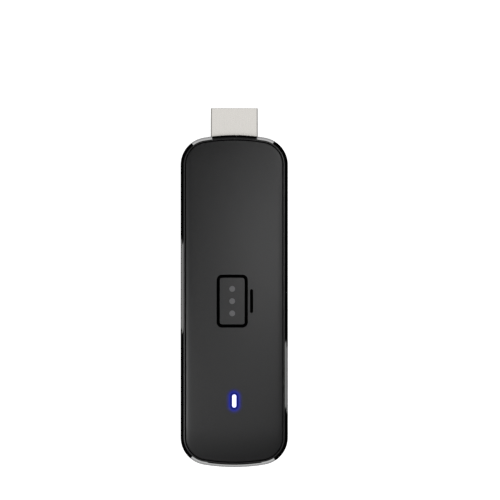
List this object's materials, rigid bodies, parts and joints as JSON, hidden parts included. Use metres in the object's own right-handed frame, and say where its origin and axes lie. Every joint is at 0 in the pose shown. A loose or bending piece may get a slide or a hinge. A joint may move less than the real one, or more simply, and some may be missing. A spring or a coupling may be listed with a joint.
{
  "type": "streaming media player",
  "caption": "Stick-shaped streaming media player with a matte crowned cover, gloss edge band, status lens and HDMI plug.",
  "frame": {"origin": "centre of the case's flat underside, on the surface it rests on", "axes": "+Z out of the top cover, +Y along the case towards the HDMI plug, +X to the side with the reset button"},
  "size_m": [0.0316, 0.1058, 0.014],
  "materials": {
    "cover_matte": "moulded black ABS, fine matte texture",
    "band_gloss": "piano-black ABS, polished",
    "base_matte": "moulded black ABS, spark-eroded texture",
    "lens_clear": "clear polycarbonate light guide, lit blue-white",
    "label_film": "blank dark grey polyester label",
    "plug_nickel": "nickel-plated deep-drawn steel",
    "black_lcp": "glass-filled moulded plastic",
    "gold_contact": "gold-plated phosphor bronze",
    "tin_plate": "tin-plated sheet steel",
    "board_green": "glass-epoxy board with solder mask",
    "screw_steel": "zinc-plated machine screw",
    "chip_epoxy": "moulded epoxy chip package",
    "thermal_pad": "ceramic-filled silicone pad",
    "spreader_metal": "stamped aluminium plate",
    "graphite": "rolled graphite sheet",
    "board_blue": "glass-epoxy module board with solder mask",
    "antenna_film": "polyimide film antenna",
    "cable_jacket": "fluoropolymer coaxial jacket",
    "crystal_can": "seam-welded crystal can",
    "ferrite": "ferrite drum inductor",
    "tantalum": "moulded tantalum capacitor",
    "ceramic_tan": "multilayer ceramic capacitor",
    "resistor_black": "thick-film chip resistor",
    "led_body": "silicone-filled light-emitting diode",
    "foam_black": "closed-cell foam sleeve",
    "button_black": "moulded black ABS button",
    "switch_white": "moulded nylon switch base",
    "dome_steel": "stainless snap dome"
  },
  "bodies": {
    "case": {"top_cover": "cover_matte", "side_band": "band_gloss", "bottom_cover": "base_matte", "light_pipe": "lens_clear", "rating_label": "label_film", "hdmi_shell": "plug_nickel", "hdmi_insulator": "black_lcp", "hdmi_contacts_upper": "gold_contact", "hdmi_contacts_lower": "gold_contact", "hdmi_bracket": "tin_plate", "power_port_shell": "tin_plate", "power_port_tongue": "black_lcp", "power_port_contacts": "gold_contact", "main_board": "board_green", "board_screws": "screw_steel", "processor": "chip_epoxy", "processor_pad": "thermal_pad", "shield_frame": "tin_plate", "shield_lid": "tin_plate", "spreader_pad": "thermal_pad", "heat_spreader": "spreader_metal", "graphite_sheet": "graphite", "memory_chip_1": "chip_epoxy", "memory_chip_2": "chip_epoxy", "flash_chip": "chip_epoxy", "power_chip": "chip_epoxy", "port_guard_chips": "chip_epoxy", "wireless_board": "board_blue", "wireless_can": "tin_plate", "antenna_sheet": "antenna_film", "antenna_cable": "cable_jacket", "antenna_plug": "gold_contact", "main_crystal": "crystal_can", "wireless_crystal": "crystal_can", "power_inductor_1": "ferrite", "power_inductor_2": "ferrite", "power_inductor_3": "ferrite", "bulk_capacitor_1": "tantalum", "bulk_capacitor_2": "tantalum", "ceramic_capacitors": "ceramic_tan", "resistors": "resistor_black", "status_led": "led_body", "light_gasket": "foam_black", "reset_switch_body": "switch_white", "reset_switch_frame": "tin_plate", "reset_switch_dome": "dome_steel"},
    "button": {"reset_button": "button_black", "reset_switch_plunger": "button_black"}
  },
  "joints": [
    {"name": "reset_press", "type": "slide", "parent": "case", "child": "button", "axis": [-1, 0, 0], "range_m": [0, 0.00025], "stiffness_N_per_m": 300}
  ]
}
